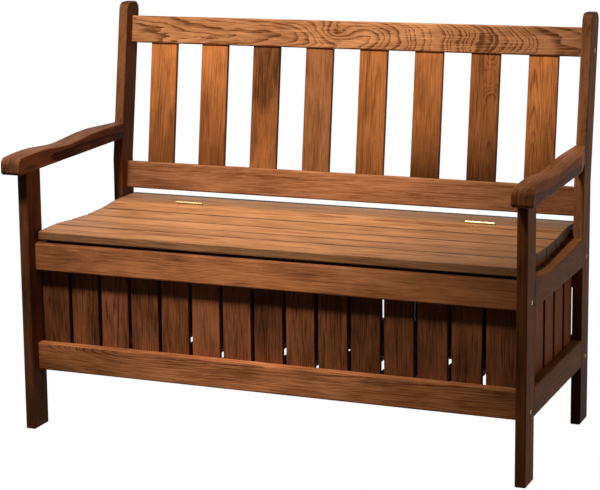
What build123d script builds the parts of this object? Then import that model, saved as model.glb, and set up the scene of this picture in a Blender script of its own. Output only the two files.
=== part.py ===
"""A wooden garden bench whose seat is the hinged lid of a storage box.

Millimetres. The origin is on the floor under the middle of the bench, +X runs to the
right as a person in front of it sees it, the front faces -Y and +Z is up.
"""

import math
import os

from build123d import *

os.makedirs("parts", exist_ok=True)

# The whole bench.
frame_width = 1140.0
overall_depth = 601.0
post_height = 903.0
seat_height = 446.5

# Planks that make the two end frames. They stand on edge, so their thickness is along X.
leg_thick = 22.5
leg_depth = 63.0
leg_round = 3.0
post_kink_height = 535.0
post_lean = 0.147
post_top_round = 20.0
post_bend_round = 260.0

# Armrests, which overhang the legs a little inside, more outside and most in front. The
# crest is given as shares of the run from leg to post, with heights above the underside.
arm_width = 45.0
arm_inner_overhang = 3.0
arm_nose_overhang = 36.0
arm_bottom_front = 575.7
arm_bottom_slope = 0.0185
arm_nose_rise = 36.3
arm_crest_shares = (0.04, 0.13, 0.235, 0.35, 0.43, 0.52, 0.66, 0.83)
arm_crest_rises = (40.5, 41.5, 39.5, 35.9, 35.8, 38.8, 43.3, 44.8)
arm_rear_rise = 45.3
arm_nose_top_round = 16.0
arm_nose_bottom_round = 9.0
arm_edge_round = 3.0
arm_taper_length = 100.0
arm_flush_length = 4.0
cutter_spare = 60.0

# Rails between the legs. The top edge of the upper side rails is dished: shares of its
# length, and drops below its front end.
rail_thick = 22.5
rail_height = 62.0
rail_round = 4.0
rail_setback = 28.4
rear_rail_setback = 27.9
rear_rail_height = 126.0
apron_below_seat = 30.0
low_rail_bottom = 129.5
side_rail_front_rise = 0.5
side_rail_rear_rise = 3.0
dish_shares = (0.18, 0.41, 0.63, 0.86)
dish_drops = (6.0, 9.2, 6.0, 0.0)

# Vertical boards that close the box, planted on the inner faces of the rails. As on the
# real bench, they stand a little to the left between the end frames.
board_width = 64.0
board_thick = 12.0
board_count = 15
board_left_gap = 3.3
board_right_gap = 11.7
board_round = 1.5
board_foot_rise = 6.0
board_top_drop = 5.0
side_board_count = 5
side_board_front_gap = 3.1
side_board_rear_gap = 2.0

# Slatted floor of the box.
floor_board_width = 83.0
floor_board_thick = 14.0
floor_board_count = 9
floor_end_gap = 10.0
floor_top_rise = 29.0
floor_clearance = 2.0
floor_batten = 22.0
batten_end_clearance = 1.5

# Seat: lid slats in a shallow dish, then a level fixed slat behind the hinges. The drops
# are those of the seat's top at its front edge and at each seam behind it.
seat_setback = 32.0
seat_drops = (5.0, 2.0, 6.5, 9.0, 7.0, 0.0)
seat_thick = 19.0
seat_gap = 4.0
seat_end_clearance = 7.5
seat_round = 3.0
hinge_before_post = 43.5
rear_slat_width = 97.0
bearer_thick = 22.0
bearer_rise = 20.5
bearer_end_clearance = 1.1
lid_batten_count = 3
lid_batten_width = 30.0
lid_batten_depth = 22.5
lid_batten_inset = 160.0
lid_batten_front_gap = 40.0
lid_batten_rear_gap = 7.5

# Two butt hinges in the seam between the lid and the fixed slat.
hinge_inset = 189.0
hinge_length = 64.0
hinge_seam = 3.0
leaf_thick = 1.2
leaf_height = 13.0
barrel_radius = 3.0
barrel_lift = 2.1
barrel_clearance = 0.3
knuckle_gap = 0.2
tab_overlap = 1.0
pin_radius = 1.25
pin_held_clearance = 0.02
pin_running_clearance = 0.05
pin_head_radius = 2.4
pin_head_thick = 1.6

# Backrest: two rails in a leaning plane with flat slats let into them.
back_setback = 30.1
back_rail_height = 64.0
low_back_rail_rise = 47.5
top_back_rail_drop = 64.8
slat_width = 66.5
slat_thick = 12.5
slat_count = 8
slat_left_gap = 50.3
slat_right_gap = 56.5
slat_round = 2.0
slat_tenon = 12.0
slat_clearance = 0.2

# Bolts through the legs into the ends of the rails, heads sunk in counterbores.
bolt_radius = 3.0
bolt_length = 52.0
bolt_hole_clearance = 0.2
bolt_hole_spare = 2.0
bolt_head_radius = 5.0
bolt_head_thick = 4.0
bolt_bore_clearance = 0.75
bolt_bore_depth = 4.6
bolt_socket_radius = 2.9
bolt_socket_depth = 2.5
bolt_above_rail_bottom = 17.5
bolt_below_back_rail_middle = 17.0

# Places that follow from the sizes above, from side to side.
sides = (("left", -1), ("right", 1))
outer_x = frame_width / 2
inner_x = outer_x - leg_thick
arm_inner_x = inner_x - arm_inner_overhang
arm_outer_x = arm_inner_x + arm_width
panel_x = inner_x - board_thick
lid_end_x = inner_x - seat_end_clearance
hinge_x = lid_end_x - hinge_inset

# From front to back.
arm_nose_y = -overall_depth / 2
front_y = arm_nose_y + arm_nose_overhang
leg_rear_y = front_y + leg_depth
post_rise = post_height - post_top_round - post_kink_height
round_loss = post_top_round * (math.hypot(1, post_lean) - 1)
post_front_y = overall_depth / 2 - leg_depth - post_lean * post_rise + round_loss
front_rail_y = (front_y + rail_setback, front_y + rail_setback + rail_thick)
front_board_y = (front_rail_y[1], front_rail_y[1] + board_thick)
rear_rail_y = (post_front_y + rear_rail_setback, post_front_y + rear_rail_setback + rail_thick)
rear_board_y = (rear_rail_y[0] - board_thick, rear_rail_y[0])
seat_front_y = front_y + seat_setback
hinge_y = post_front_y - hinge_before_post
lid_slat_count = len(seat_drops) - 1
seat_pitch = (hinge_y - seat_front_y) / lid_slat_count
seam_y = [seat_front_y + seat_pitch * i for i in range(lid_slat_count + 1)]

# From the floor up.
seat_heights = [seat_height - drop for drop in seat_drops]
apron_z = (seat_height - apron_below_seat - rail_height, seat_height - apron_below_seat)
low_rail_z = (low_rail_bottom, low_rail_bottom + rail_height)
rear_rail_z = (seat_height - seat_thick - rear_rail_height, seat_height - seat_thick)
seat_bolt_z = apron_z[0] + bolt_above_rail_bottom
low_bolt_z = low_rail_z[0] + bolt_above_rail_bottom
board_foot = low_rail_bottom + board_foot_rise
floor_top = low_rail_bottom + floor_top_rise
barrel_z = seat_height + barrel_lift
arm_rear_z = arm_bottom_front + arm_rear_rise

# The dished top edge of the upper side rails.
side_rail_length = post_front_y - leg_rear_y
dish_front_z = apron_z[1] + side_rail_front_rise
dish_points = [
    (leg_rear_y, dish_front_z),
    *((leg_rear_y + t * side_rail_length, dish_front_z - d) for t, d in zip(dish_shares, dish_drops)),
    (post_front_y, apron_z[1] + side_rail_rear_rise),
]


def post_front_at(z):
    """Y of the leaning front face of a rear post."""
    return post_front_y + post_lean * max(0.0, z - post_kink_height)


def arm_bottom_at(y):
    """Height of the armrest's underside, which rises a little to the back."""
    return arm_bottom_front + arm_bottom_slope * (y - front_y)


def arm_rear_foot():
    """The (y, z) where the armrest's underside meets the leaning post."""
    run = post_front_y - post_lean * post_kink_height - front_y
    z = (arm_bottom_front + arm_bottom_slope * run) / (1 - arm_bottom_slope * post_lean)
    return post_front_at(z), z


def seat_top_at(y):
    """Height of the seat's top, straight from seam to seam and level at the back."""
    for i in range(len(seam_y) - 1):
        if y <= seam_y[i + 1]:
            share = (y - seam_y[i]) / seat_pitch
            return seat_heights[i] + share * (seat_heights[i + 1] - seat_heights[i])
    return seat_height


def seat_underside(y_from, y_to):
    """Points along the underside of the seat, with every seam between the two ends."""
    between = [y for y in seam_y if y_from < y < y_to]
    return [(y, seat_top_at(y) - seat_thick) for y in (y_from, *between, y_to)]


def save(piece, label):
    piece.part.label = label
    export_step(piece.part, f"parts/{label}.step")


def middle(pair):
    return (pair[0] + pair[1]) / 2


def length(pair):
    return pair[1] - pair[0]


def side_span(side, near, far):
    """The X range of something that lies from near to far on the given side."""
    return tuple(sorted((side * near, side * far)))


def plank(x, y, z, grain, round_over):
    """A straight board in the box x, y, z with its edges along the grain rounded."""
    with BuildPart() as board:
        with BuildSketch(Plane.XY.offset(z[0])):
            with Locations((middle(x), middle(y))):
                Rectangle(length(x), length(y))
        extrude(amount=length(z))
        fillet(board.edges().filter_by(grain), round_over)
    return board


def even_places(count, width, left_gap, right_gap, half_span):
    """Middles of equal pieces spread evenly between the end gaps of a span about X = 0."""
    first = left_gap + width / 2 - half_span
    last = half_span - right_gap - width / 2
    return [first + (last - first) * i / (count - 1) for i in range(count)]


# The leaning plane that the front faces of both backrest rails lie in. Heights along it
# are counted from the middle of the lower rail.
low_back_rail_z = seat_height + low_back_rail_rise
top_back_rail_z = post_height - top_back_rail_drop
back_low_y = post_front_at(low_back_rail_z) + back_setback
back_high_y = post_front_at(top_back_rail_z) + back_setback
back_angle = math.atan2(back_high_y - back_low_y, top_back_rail_z - low_back_rail_z)
back_up = Vector(0, math.sin(back_angle), math.cos(back_angle))
back_forward = Vector(0, -math.cos(back_angle), math.sin(back_angle))
back_plane = Plane(origin=(0, back_low_y, low_back_rail_z), x_dir=(1, 0, 0), z_dir=back_forward)
top_rail_v = math.hypot(back_high_y - back_low_y, top_back_rail_z - low_back_rail_z)

# Where bolts pass an end frame, as (y, z, what they go through).
top_bolt = back_plane.from_local_coords((0, top_rail_v - bolt_below_back_rail_middle, -rail_thick / 2))
bolt_places = [
    (middle(front_rail_y), seat_bolt_z, "leg"),
    (middle(front_rail_y), low_bolt_z, "leg"),
    (middle(rear_rail_y), seat_bolt_z, "post"),
    (middle(rear_rail_y), low_bolt_z, "post"),
    (top_bolt.Y, top_bolt.Z, "post"),
]


def sink_bolts(side, member):
    """Cuts the counterbored bolt holes of a leg or post that is being built."""
    for y, z, through in bolt_places:
        if through == member:
            with Locations(Plane(origin=(side * outer_x, y, z), z_dir=(side, 0, 0))):
                CounterBoreHole(
                    bolt_radius + bolt_hole_clearance,
                    bolt_head_radius + bolt_bore_clearance,
                    bolt_bore_depth,
                )


def drill_rail_ends(y, z):
    """Cuts the blind bolt holes in both ends of a rail that is being built."""
    depth = bolt_length + bolt_hole_spare - (leg_thick - bolt_bore_depth)
    for _, side in sides:
        with Locations(Plane(origin=(side * inner_x, y, z), z_dir=(side, 0, 0))):
            Hole(bolt_radius + bolt_hole_clearance, depth)


# Front legs: plain upright planks, cut at the top to the armrest's slope.
for name, side in sides:
    x = side_span(side, inner_x, outer_x)
    with BuildPart() as front_leg:
        with BuildSketch(Plane.YZ.offset(x[0])):
            with BuildLine():
                Polyline(
                    (front_y, 0),
                    (leg_rear_y, 0),
                    (leg_rear_y, arm_bottom_at(leg_rear_y)),
                    (front_y, arm_bottom_at(front_y)),
                    close=True,
                )
            make_face()
        extrude(amount=leg_thick)
        fillet(front_leg.edges().filter_by(Axis.Z), leg_round)
        sink_bolts(side, "leg")
    save(front_leg, f"front_leg_{name}")

# Rear posts: upright below the seat, leaning back above it, rounded over at the top.
for name, side in sides:
    x = side_span(side, inner_x, outer_x)
    with BuildPart() as rear_post:
        with BuildSketch(Plane.YZ.offset(x[0])) as outline:
            with BuildLine():
                Polyline(
                    (post_front_y, 0),
                    (post_front_y + leg_depth, 0),
                    (post_front_y + leg_depth, post_kink_height),
                    (post_front_at(post_height) + leg_depth, post_height),
                    (post_front_at(post_height), post_height),
                    (post_front_y, post_kink_height),
                    close=True,
                )
            make_face()
            heights = outline.vertices().group_by(Axis.Y)
            fillet(heights[-1], post_top_round)
            fillet(heights[1], post_bend_round)
        extrude(amount=leg_thick)
        fillet(rear_post.faces().filter_by(Axis.X).edges(), leg_round)
        sink_bolts(side, "post")
    save(rear_post, f"rear_post_{name}")

# Armrests: a hump over the leg, a dip for the forearm and a second rise to the post.
# Behind the dip the outer side runs in to meet the post flush.
arm_run = post_front_at(arm_rear_z) - front_y
arm_crest = [
    (front_y + share * arm_run, arm_bottom_front + rise)
    for share, rise in zip(arm_crest_shares, arm_crest_rises)
]
arm_nose_top = (arm_nose_y, arm_bottom_front + arm_nose_rise)
arm_rear_top = (post_front_at(arm_rear_z), arm_rear_z)
taper_end_y = post_front_at(arm_bottom_front) - arm_flush_length
for name, side in sides:
    x = side_span(side, arm_inner_x, arm_outer_x)
    with BuildPart() as armrest:
        with BuildSketch(Plane.YZ.offset(x[0])):
            with BuildLine():
                Spline(arm_nose_top, *arm_crest, arm_rear_top)
                Polyline(
                    arm_rear_top,
                    arm_rear_foot(),
                    (arm_nose_y, arm_bottom_at(arm_nose_y)),
                    arm_nose_top,
                )
            make_face()
        extrude(amount=arm_width)
        nose = armrest.edges().filter_by(Axis.X).sort_by(Axis.Y)[:2].sort_by(Axis.Z)
        fillet(nose[1], arm_nose_top_round)
        nose = armrest.edges().filter_by(Axis.X).sort_by(Axis.Z)[:2].sort_by(Axis.Y)
        fillet(nose[0], arm_nose_bottom_round)
        outline = armrest.faces().filter_by(Axis.X).edges().filter_by(Axis.X, reverse=True)
        fillet(outline.sort_by(Axis.Y)[:-2], arm_edge_round)
        with BuildSketch(Plane.XY.offset(arm_bottom_front - cutter_spare)):
            with BuildLine():
                Polyline(
                    (side * arm_outer_x, taper_end_y - arm_taper_length),
                    (side * outer_x, taper_end_y),
                    (side * outer_x, taper_end_y + cutter_spare),
                    (side * (arm_outer_x + cutter_spare), taper_end_y + cutter_spare),
                    (side * (arm_outer_x + cutter_spare), taper_end_y - arm_taper_length),
                    close=True,
                )
            make_face()
        extrude(amount=arm_rear_rise + 2 * cutter_spare, mode=Mode.SUBTRACT)
    save(armrest, f"armrest_{name}")

# Upper side rails, with the dished top edge that follows the seat.
for name, side in sides:
    x = side_span(side, inner_x, outer_x)
    with BuildPart() as upper_side_rail:
        with BuildSketch(Plane.YZ.offset(x[0])):
            with BuildLine():
                Spline(*dish_points)
                Polyline(
                    dish_points[-1],
                    (post_front_y, apron_z[0]),
                    (leg_rear_y, apron_z[0]),
                    dish_points[0],
                )
            make_face()
        extrude(amount=leg_thick)
        faces = upper_side_rail.faces().filter_by(Axis.X)
        fillet(faces.edges().filter_by(Axis.Z, reverse=True), rail_round)
    save(upper_side_rail, f"upper_side_rail_{name}")

# Lower side rails.
for name, side in sides:
    x = side_span(side, inner_x, outer_x)
    lower_side_rail = plank(x, (leg_rear_y, post_front_y), low_rail_z, Axis.Y, rail_round)
    save(lower_side_rail, f"lower_side_rail_{name}")

# Rails along the front and the back of the box, drilled at their ends for the bolts. The
# rear seat rail is the tallest: the fixed slat lies on it, and it shuts out the daylight
# that would show through the box under the lid's front edge.
cross_rails = {
    "front_apron": (front_rail_y, apron_z, seat_bolt_z),
    "front_lower_rail": (front_rail_y, low_rail_z, low_bolt_z),
    "rear_seat_rail": (rear_rail_y, rear_rail_z, seat_bolt_z),
    "rear_lower_rail": (rear_rail_y, low_rail_z, low_bolt_z),
}
for label, (y, z, bolt_z) in cross_rails.items():
    with BuildPart() as cross_rail:
        with BuildSketch(Plane.YZ.offset(-inner_x)):
            with Locations((middle(y), middle(z))):
                Rectangle(length(y), length(z))
        extrude(amount=2 * inner_x)
        fillet(cross_rail.edges().filter_by(Axis.X), rail_round)
        drill_rail_ends(middle(y), bolt_z)
    save(cross_rail, label)

# Boards of the front panel, one by one.
board_places = even_places(board_count, board_width, board_left_gap, board_right_gap, inner_x)
for i, place in enumerate(board_places):
    span_x = (place - board_width / 2, place + board_width / 2)
    front_board_z = (board_foot, apron_z[1] - board_top_drop)
    front_board = plank(span_x, front_board_y, front_board_z, Axis.Z, board_round)
    save(front_board, f"front_board_{i + 1:02d}")

# Boards of the rear panel, as one group.
with BuildPart() as rear_boards:
    with BuildSketch(Plane.XY.offset(board_foot)):
        with Locations([(place, middle(rear_board_y)) for place in board_places]):
            Rectangle(board_width, board_thick)
    extrude(amount=rear_rail_z[1] - board_top_drop - board_foot)
    fillet(rear_boards.edges().filter_by(Axis.Z), board_round)
save(rear_boards, "rear_boards")

# Boards of the side panels, one group a side, cut off along the dish of the side rail.
side_panel_y = (front_board_y[1] + side_board_front_gap, post_front_y - side_board_rear_gap)
side_pitch = (length(side_panel_y) - board_width) / (side_board_count - 1)
for name, side in sides:
    x = side_span(side, panel_x, inner_x)
    with BuildPart() as side_boards:
        with BuildSketch(Plane.YZ.offset(x[0])):
            with BuildLine():
                Spline(*dish_points)
                Polyline(
                    dish_points[-1],
                    (post_front_y, board_foot),
                    (leg_rear_y, board_foot),
                    dish_points[0],
                )
            make_face()
            with Locations((middle(side_panel_y), middle((board_foot, apron_z[1])))):
                Rectangle(length(side_panel_y), 2 * apron_z[1], mode=Mode.INTERSECT)
                with GridLocations(side_pitch, 0, side_board_count - 1, 1):
                    Rectangle(side_pitch - board_width, 2 * apron_z[1], mode=Mode.SUBTRACT)
        extrude(amount=board_thick)
        fillet(side_boards.edges().filter_by(Axis.Z), board_round)
    save(side_boards, f"side_boards_{name}")

# Battens along the foot of the front and rear panels, and the floor boards laid on them.
batten_top = floor_top - floor_board_thick
batten_x = (batten_end_clearance - panel_x, panel_x - batten_end_clearance)
batten_z = (batten_top - floor_batten, batten_top)
front_batten_y = (front_board_y[1], front_board_y[1] + floor_batten)
rear_batten_y = (rear_board_y[0] - floor_batten, rear_board_y[0])
save(plank(batten_x, front_batten_y, batten_z, Axis.X, board_round), "floor_batten_front")
save(plank(batten_x, rear_batten_y, batten_z, Axis.X, board_round), "floor_batten_rear")

floor_y = (front_board_y[1] + floor_clearance, rear_board_y[0] - floor_clearance)
floor_places = even_places(floor_board_count, floor_board_width, floor_end_gap, floor_end_gap, panel_x)
with BuildPart() as floor_boards:
    with BuildSketch(Plane.XY.offset(batten_top)):
        with Locations([(place, middle(floor_y)) for place in floor_places]):
            Rectangle(floor_board_width, length(floor_y))
    extrude(amount=floor_board_thick)
    fillet(floor_boards.edges().filter_by(Axis.Y), board_round)
save(floor_boards, "floor_boards")

# Seat bearers inside the side panels: the lid and the fixed slat rest on them.
bearer_bottom = apron_z[0] + bearer_rise
bearer_y = (front_board_y[1] + bearer_end_clearance, rear_board_y[0] - bearer_end_clearance)
for name, side in sides:
    x = side_span(side, panel_x - bearer_thick, panel_x)
    with BuildPart() as seat_bearer:
        with BuildSketch(Plane.YZ.offset(x[0])):
            with BuildLine():
                Polyline(
                    (bearer_y[0], bearer_bottom),
                    *seat_underside(*bearer_y),
                    (bearer_y[1], bearer_bottom),
                    close=True,
                )
            make_face()
        extrude(amount=bearer_thick)
    save(seat_bearer, f"seat_bearer_{name}")


def seat_slat(y_from, y_to):
    """One slat of the seat, its ends cut square and its long edges rounded."""
    with BuildPart() as slat:
        with BuildSketch(Plane.YZ.offset(-lid_end_x)):
            with BuildLine():
                Polyline(
                    (y_from, seat_top_at(y_from)),
                    (y_to, seat_top_at(y_to)),
                    (y_to, seat_top_at(y_to) - seat_thick),
                    (y_from, seat_top_at(y_from) - seat_thick),
                    close=True,
                )
            make_face()
        extrude(amount=2 * lid_end_x)
        fillet(slat.edges().filter_by(Axis.X), seat_round)
    return slat


# Slats of the lid from front to back. The last one leaves room for the hinge leaves.
for i in range(lid_slat_count):
    front_gap = 0 if i == 0 else seat_gap / 2
    rear_gap = hinge_seam / 2 if i == lid_slat_count - 1 else seat_gap / 2
    lid_slat = seat_slat(seam_y[i] + front_gap, seam_y[i + 1] - rear_gap)
    save(lid_slat, f"lid_slat_{i + 1}")

# The fixed slat behind the hinges.
rear_slat_y = hinge_y + hinge_seam / 2
save(seat_slat(rear_slat_y, rear_slat_y + rear_slat_width), "rear_slat")

# Battens under the lid that hold its slats together.
lid_batten_y = (seat_front_y + lid_batten_front_gap, hinge_y - lid_batten_rear_gap)
lid_batten_bottom = min(seat_heights) - seat_thick - lid_batten_depth
batten_gap = lid_batten_inset - lid_batten_width / 2
batten_places = even_places(lid_batten_count, lid_batten_width, batten_gap, batten_gap, lid_end_x)
for i, place in enumerate(batten_places):
    with BuildPart() as lid_batten:
        with BuildSketch(Plane.YZ.offset(place - lid_batten_width / 2)):
            with BuildLine():
                Polyline(
                    (lid_batten_y[0], lid_batten_bottom),
                    *seat_underside(*lid_batten_y),
                    (lid_batten_y[1], lid_batten_bottom),
                    close=True,
                )
            make_face()
        extrude(amount=lid_batten_width)
    save(lid_batten, f"lid_batten_{i + 1}")

# Hinges. A third of each barrel's length is one knuckle: the outer two belong to the
# fixed leaf and the middle one to the leaf on the lid.
knuckle = hinge_length / 3
outer_knuckles = (-hinge_length / 2, hinge_length / 2 - knuckle)
inner_knuckles = (-knuckle / 2,)
leaf_top = barrel_z - barrel_radius - barrel_clearance
tab_top = barrel_z - middle((pin_radius, barrel_radius))


def hinge_leaves(toward, knuckles, pin_clearance):
    """Both hinges' leaves on one side of the seam, with their knuckles."""
    outer_face = hinge_y + toward * hinge_seam / 2
    leaf_y = sorted((outer_face, outer_face - toward * leaf_thick))
    with BuildPart() as leaves:
        for place in (-hinge_x, hinge_x):
            with BuildSketch(Plane.YZ.offset(place - hinge_length / 2)):
                with Locations((middle(leaf_y), leaf_top - leaf_height / 2)):
                    Rectangle(leaf_thick, leaf_height)
            extrude(amount=hinge_length)
            for start in knuckles:
                with BuildSketch(Plane.YZ.offset(place + start + knuckle_gap / 2)):
                    with Locations((hinge_y, barrel_z)):
                        Circle(barrel_radius)
                    with Locations((middle(leaf_y), middle((leaf_top - tab_overlap, tab_top)))):
                        Rectangle(leaf_thick, tab_top - leaf_top + tab_overlap)
                    with Locations((hinge_y, barrel_z)):
                        Circle(pin_radius + pin_clearance, mode=Mode.SUBTRACT)
                extrude(amount=knuckle - knuckle_gap)
    return leaves


save(hinge_leaves(1, outer_knuckles, pin_held_clearance), "hinge_fixed_leaves")
save(hinge_leaves(-1, inner_knuckles, pin_running_clearance), "hinge_lid_leaves")

pin_half = hinge_length / 2 - knuckle_gap / 2
with BuildPart() as hinge_pins:
    for place in (-hinge_x, hinge_x):
        with BuildSketch(Plane.YZ.offset(place - pin_half)):
            with Locations((hinge_y, barrel_z)):
                Circle(pin_radius)
        extrude(amount=2 * pin_half)
        for start in (place - pin_half - pin_head_thick, place + pin_half):
            with BuildSketch(Plane.YZ.offset(start)):
                with Locations((hinge_y, barrel_z)):
                    Circle(pin_head_radius)
            extrude(amount=pin_head_thick)
save(hinge_pins, "hinge_pins")

# Backrest rails, with a mortise for each slat in the edge that faces the other rail.
slat_places = even_places(slat_count, slat_width, slat_left_gap, slat_right_gap, inner_x)
slat_recess = (rail_thick - slat_thick) / 2
back_rails = {"back_top_rail": (top_rail_v, -1), "back_lower_rail": (0, 1)}
for label, (rail_v, toward) in back_rails.items():
    with BuildPart() as back_rail:
        with BuildSketch(back_plane):
            with Locations((0, rail_v)):
                Rectangle(2 * inner_x, back_rail_height)
        extrude(amount=-rail_thick)
        fillet(back_rail.edges().filter_by(Axis.X), rail_round)
        with BuildSketch(back_plane.offset(slat_clearance - slat_recess)):
            mortise_v = rail_v + toward * (back_rail_height - slat_tenon) / 2
            with Locations([(place, mortise_v) for place in slat_places]):
                Rectangle(slat_width + 2 * slat_clearance, slat_tenon)
        extrude(amount=-(slat_thick + 2 * slat_clearance), mode=Mode.SUBTRACT)
        if label == "back_top_rail":
            drill_rail_ends(top_bolt.Y, top_bolt.Z)
    save(back_rail, label)

# Backrest slats, each end standing in its mortise.
slat_low = back_rail_height / 2 - slat_tenon
slat_high = top_rail_v - back_rail_height / 2 + slat_tenon
for i, place in enumerate(slat_places):
    with BuildPart() as back_slat:
        with BuildSketch(back_plane.offset(-slat_recess)):
            with Locations((place, middle((slat_low, slat_high)))):
                Rectangle(slat_width, slat_high - slat_low)
        extrude(amount=-slat_thick)
        fillet(back_slat.edges().filter_by(Axis((0, 0, 0), back_up)), slat_round)
    save(back_slat, f"back_slat_{i + 1}")

# Bolts, as one group: a round head with a six-sided socket, and a plain shank.
with BuildPart() as bolts:
    for _, side in sides:
        for y, z, _ in bolt_places:
            seat_x = side * (outer_x - bolt_bore_depth)
            with BuildSketch(Plane(origin=(seat_x, y, z), z_dir=(side, 0, 0))):
                Circle(bolt_head_radius)
            extrude(amount=bolt_head_thick)
            with BuildSketch(Plane(origin=(seat_x, y, z), z_dir=(side, 0, 0))):
                Circle(bolt_radius)
            extrude(amount=-bolt_length)
            top = Plane(origin=(seat_x + side * bolt_head_thick, y, z), z_dir=(side, 0, 0))
            with BuildSketch(top):
                RegularPolygon(bolt_socket_radius, 6)
            extrude(amount=-bolt_socket_depth, mode=Mode.SUBTRACT)
save(bolts, "bolts")
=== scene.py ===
# %% [markdown]
# # A garden storage bench
#
# The bench comes in as a finished frame of sixty wooden and metal pieces, each in its
# place and at its real size, in metres. This lesson gives those pieces their looks: brown
# stained pine with its growth rings, brass hinges, steel bolts, and a plain white studio.

# %% Load the frame
import math
import random

import bpy
from mathutils import Euler, Matrix, Vector


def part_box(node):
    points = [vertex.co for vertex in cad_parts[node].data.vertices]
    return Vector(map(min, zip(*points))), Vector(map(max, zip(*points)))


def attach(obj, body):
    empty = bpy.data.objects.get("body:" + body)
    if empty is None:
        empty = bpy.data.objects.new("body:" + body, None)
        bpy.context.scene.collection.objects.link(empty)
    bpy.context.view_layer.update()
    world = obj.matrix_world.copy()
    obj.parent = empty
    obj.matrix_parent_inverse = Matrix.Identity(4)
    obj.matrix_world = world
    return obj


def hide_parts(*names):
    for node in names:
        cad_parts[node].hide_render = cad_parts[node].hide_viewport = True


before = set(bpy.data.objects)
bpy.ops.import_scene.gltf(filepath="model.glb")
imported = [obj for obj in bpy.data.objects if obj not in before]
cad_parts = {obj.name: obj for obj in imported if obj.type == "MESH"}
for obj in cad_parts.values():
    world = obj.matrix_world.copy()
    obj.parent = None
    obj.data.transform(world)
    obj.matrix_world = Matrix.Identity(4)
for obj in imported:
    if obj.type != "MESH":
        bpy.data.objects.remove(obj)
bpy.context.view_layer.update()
MM = 0.001

# %% [markdown]
# ## Where the camera stands
#
# A picture fixes its camera: the edges of the boards say where it stood, how it was turned
# and how long its lens was. Those values could be found by eye, by moving a camera until
# the edges agree. Here they come from a least-squares fit to corners of the bench. A small
# lens shift keeps the uprights as upright as the picture has them.

# %% Camera
IMAGE_WIDTH = 600
IMAGE_HEIGHT = 490
CAMERA_PLACE = Vector((1.5560, -3.8859, 1.3017))
CAMERA_YAW = -0.40499       # This turn and the next two are in radians.
CAMERA_PITCH = -0.18051
CAMERA_ROLL = 0.01406
FOCAL_PIXELS = 1948.9
CENTRE_PIXEL = (260, 185)
SENSOR_WIDTH = 36.0         # Millimetres, Blender's own default.

forward = Vector((
    math.sin(CAMERA_YAW) * math.cos(CAMERA_PITCH),
    math.cos(CAMERA_YAW) * math.cos(CAMERA_PITCH),
    math.sin(CAMERA_PITCH),
))
level_right = forward.cross(Vector((0, 0, 1))).normalized()
right = Matrix.Rotation(CAMERA_ROLL, 3, forward) @ level_right
up = right.cross(forward)

camera_data = bpy.data.cameras.new("studio_camera")
camera_data.sensor_width = SENSOR_WIDTH
camera_data.lens = FOCAL_PIXELS / IMAGE_WIDTH * SENSOR_WIDTH
camera_data.shift_x = (IMAGE_WIDTH / 2 - CENTRE_PIXEL[0]) / IMAGE_WIDTH
camera_data.shift_y = (CENTRE_PIXEL[1] - IMAGE_HEIGHT / 2) / IMAGE_WIDTH
camera = bpy.data.objects.new("studio_camera", camera_data)
bpy.context.scene.collection.objects.link(camera)
camera_turn = Matrix((right, up, -forward)).transposed().to_4x4()
camera.matrix_world = Matrix.Translation(CAMERA_PLACE) @ camera_turn
bpy.context.scene.camera = camera
print("camera axes:", [tuple(round(v, 4) for v in axis) for axis in (right, up, forward)])

# %% [markdown]
# ## Helpers for colours and nodes
#
# A colour picked from a screen is sRGB, and a shader works in linear light, so one function
# turns a hex value into linear numbers. Node trees are easier to read when each node is one
# call, so another small function adds a node, sets its properties and fills its inputs with
# values or with links.

# %% Colour, node and material helpers
def linear(hex_colour):
    """Linear RGBA of an sRGB hex colour such as '#b66b39'."""
    channels = [int(hex_colour[i:i + 2], 16) / 255 for i in (1, 3, 5)]
    return [c / 12.92 if c <= 0.04045 else ((c + 0.055) / 1.055) ** 2.4 for c in channels] + [1.0]


def add(tree, kind, inputs=None, **settings):
    """Adds one node. Inputs are values, sockets to link from, or nodes, for their first output."""
    node = tree.nodes.new(kind)
    for name, value in settings.items():
        setattr(node, name, value)
    for name, value in (inputs or {}).items():
        if isinstance(value, bpy.types.Node):
            value = value.outputs[0]
        if isinstance(value, bpy.types.NodeSocket):
            tree.links.new(value, node.inputs[name])
        else:
            node.inputs[name].default_value = value
    return node


def bare_material(name):
    """A new material whose node tree is empty."""
    material = bpy.data.materials.new(name)
    material.use_nodes = True
    material.node_tree.nodes.clear()
    return material


def coat(node, material):
    """Gives one piece of the frame a material in place of what it had."""
    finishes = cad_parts[node].data.materials
    finishes.clear()
    finishes.append(material)


print("stain, linear:", [round(c, 3) for c in linear("#b66b39")])

# %% [markdown]
# ## Stained pine
#
# Pine grows in rings about the pith: a wide soft band in spring and a narrow hard one in
# late summer. A board is a straight cut through those rings, and that cut draws the figure:
# near-parallel lines where it crosses them steeply, tall arches where it grazes them. A
# picture of grain could be stretched over each board, but then its faces and ends wouldn't
# agree. So the rings are made in space. Each board gets a place and a tilt in its log, and
# every face then shows the figure that the saw would have found there.
#
# One node group holds that recipe, and a board differs only in what it puts into the group.
# The patterns in it are noises, stretched along the board and each of a real size.

# %% The grain group and its patterns
GRAIN_INPUTS = {
    "NodeSocketVector": ("Log", "Knot"),
    "NodeSocketColor": ("Pale", "Deep", "Edge tone"),
    "NodeSocketFloat": (
        "Seed", "Ring width", "Wander", "Figure", "Fibre", "Blotch", "Ends and shade", "Edge",
        "Sweep place", "Sweep length", "Sweep lift", "Knot length", "Knot lift", "Knot core",
    ),
}
GRAIN_OUTPUTS = {"NodeSocketColor": ("Colour",), "NodeSocketFloat": ("Roughness", "Height")}
SEED_SHIFT = (3.1, 1.7, 2.3)
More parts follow.
